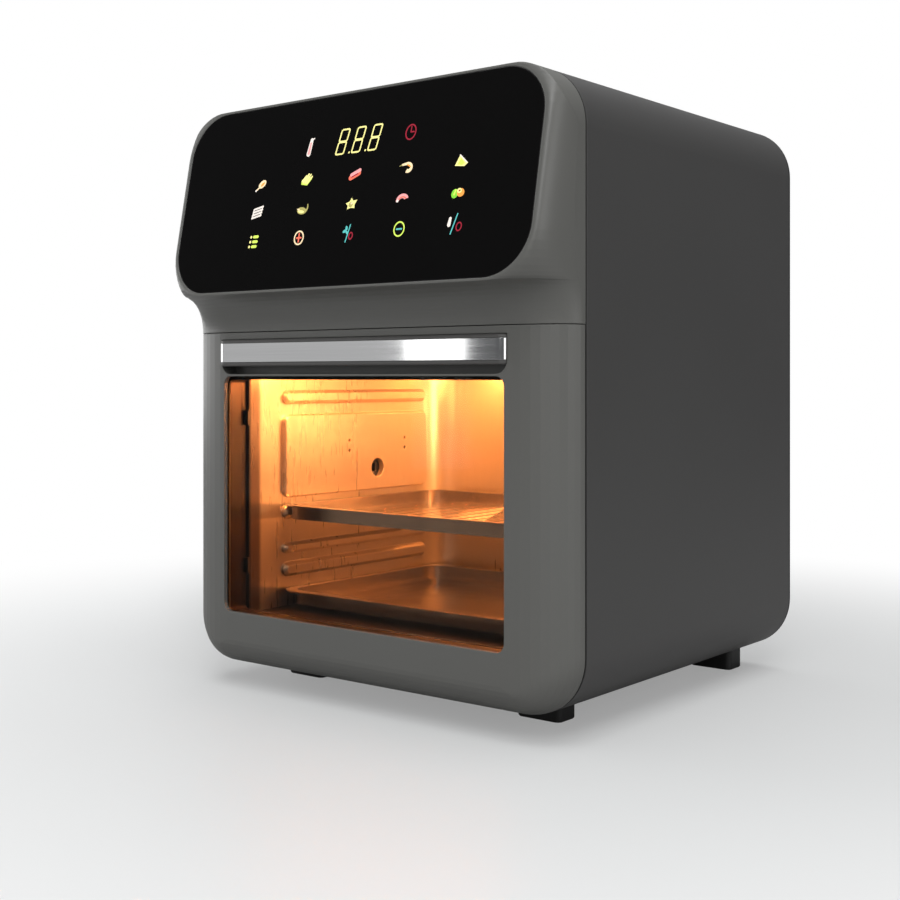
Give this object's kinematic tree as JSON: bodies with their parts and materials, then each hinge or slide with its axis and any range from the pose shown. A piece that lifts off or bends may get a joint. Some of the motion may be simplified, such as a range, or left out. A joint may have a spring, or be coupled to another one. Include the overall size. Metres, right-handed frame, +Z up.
{
  "type": "toaster oven",
  "caption": "Tall rounded countertop air-fryer oven with a drop-down glass door, an overhanging touch panel, two trays, fan heating and a rotisserie drive.",
  "frame": {"origin": "middle of the whole object's footprint, on the surface it stands on", "axes": "+X right as seen from the front, +Y to the back, +Z up"},
  "size_m": [0.31, 0.3124, 0.384],
  "materials": {
    "case_paint": "satin",
    "front_moulding": "satin metallic paint",
    "black_moulding": "fine matt",
    "foot_plastic": "matt",
    "panel_glass": "polished, printed black behind",
    "window_glass": "polished, warm tint",
    "clear_glass": "polished",
    "oven_steel": "plain rolled",
    "zinc_steel": "zinc plated",
    "tray_steel": "satin",
    "trim_aluminium": "brushed along its length",
    "fan_aluminium": "pressed",
    "screw_steel": "black oxide",
    "element_sheath": "dull dark oxide",
    "silicone": "matt",
    "ceramic": "glazed ceramic",
    "lamination": "varnished",
    "copper_coil": "taped enamelled wire",
    "rotor_metal": "turned",
    "board_green": "solder mask",
    "component_black": "moulded",
    "display_black": "polished",
    "ribbon_grey": "extruded",
    "magnet_plate": "nickel plated",
    "bulb_glass": "clear"
  },
  "bodies": {
    "cabinet": {"body_shell": "case_paint", "rear_cover": "black_moulding", "rear_cover_screws": "screw_steel", "feet": "foot_plastic", "foot_screws": "screw_steel", "cord_gland": "black_moulding", "front_frame": "oven_steel", "control_head": "front_moulding", "control_panel_glass": "panel_glass", "touch_board": "board_green", "touch_board_screws": "screw_steel", "touch_springs": "zinc_steel", "display_module": "display_black", "buzzer": "component_black", "hinge_arms": "zinc_steel", "door_switch": "component_black", "cavity_wrap": "oven_steel", "cavity_floor": "oven_steel", "fan_guard": "oven_steel", "chamber_top": "oven_steel", "heating_element": "element_sheath", "element_brackets": "zinc_steel", "temperature_probe": "zinc_steel", "thermal_cutout": "component_black", "lamp_cover": "clear_glass", "lamp_housing": "zinc_steel", "lamp_holder": "ceramic", "lamp_bulb": "bulb_glass", "rotisserie_motor": "zinc_steel", "rotisserie_spacers": "zinc_steel", "spit_bush": "zinc_steel", "motor_stator": "lamination", "motor_coil": "copper_coil", "motor_bridges": "zinc_steel", "motor_posts": "zinc_steel", "heat_shield": "zinc_steel", "shield_posts": "zinc_steel", "power_board": "board_green", "power_board_posts": "black_moulding", "power_board_components": "component_black", "ribbon_cable": "ribbon_grey"},
    "door": {"door_frame": "front_moulding", "outer_glass": "window_glass", "glass_seal": "silicone", "inner_pan": "oven_steel", "inner_glass": "clear_glass", "glass_clips": "zinc_steel", "door_magnets": "magnet_plate", "hinge_pins": "zinc_steel", "handle_bar": "front_moulding", "handle_trim": "trim_aluminium", "handle_screws": "screw_steel"},
    "plunger": {"switch_plunger": "black_moulding"},
    "spit_drive": {"rotisserie_socket": "zinc_steel"},
    "fan_rotor": {"motor_shaft": "zinc_steel", "hot_air_fan": "fan_aluminium", "cooling_fan": "fan_aluminium", "motor_rotor": "rotor_metal"},
    "mesh_tray_body": {"mesh_tray": "tray_steel"},
    "drip_tray_body": {"drip_tray": "tray_steel"}
  },
  "joints": [
    {"name": "door_hinge", "type": "hinge", "parent": "cabinet", "child": "door", "pos_m": [0, -0.1213, 0.022], "axis": [1, 0, 0], "range_deg": [0, 90]},
    {"name": "mesh_tray_slide", "type": "slide", "parent": "cabinet", "child": "mesh_tray_body", "axis": [0, -1, 0], "range_m": [0, 0.107]},
    {"name": "drip_tray_slide", "type": "slide", "parent": "cabinet", "child": "drip_tray_body", "axis": [0, -1, 0], "range_m": [0, 0.107]},
    {"name": "plunger_slide", "type": "slide", "parent": "cabinet", "child": "plunger", "axis": [0, -1, 0], "range_m": [0, 0.003]},
    {"name": "fan_spin", "type": "hinge", "parent": "cabinet", "child": "fan_rotor", "pos_m": [0, -0.0093, 0.316], "axis": [0, 0, 1], "continuous": true},
    {"name": "spit_drive_spin", "type": "hinge", "parent": "cabinet", "child": "spit_drive", "pos_m": [-0.116, 0.0142, 0.139], "axis": [1, 0, 0], "continuous": true}
  ],
  "couplings": [
    {"joint": "mesh_tray_slide", "follows": "door_hinge", "m_per_rad": 0.068},
    {"joint": "drip_tray_slide", "follows": "door_hinge", "m_per_rad": 0.068},
    {"joint": "plunger_slide", "follows": "door_hinge", "m_per_rad": 0.0019}
  ]
}
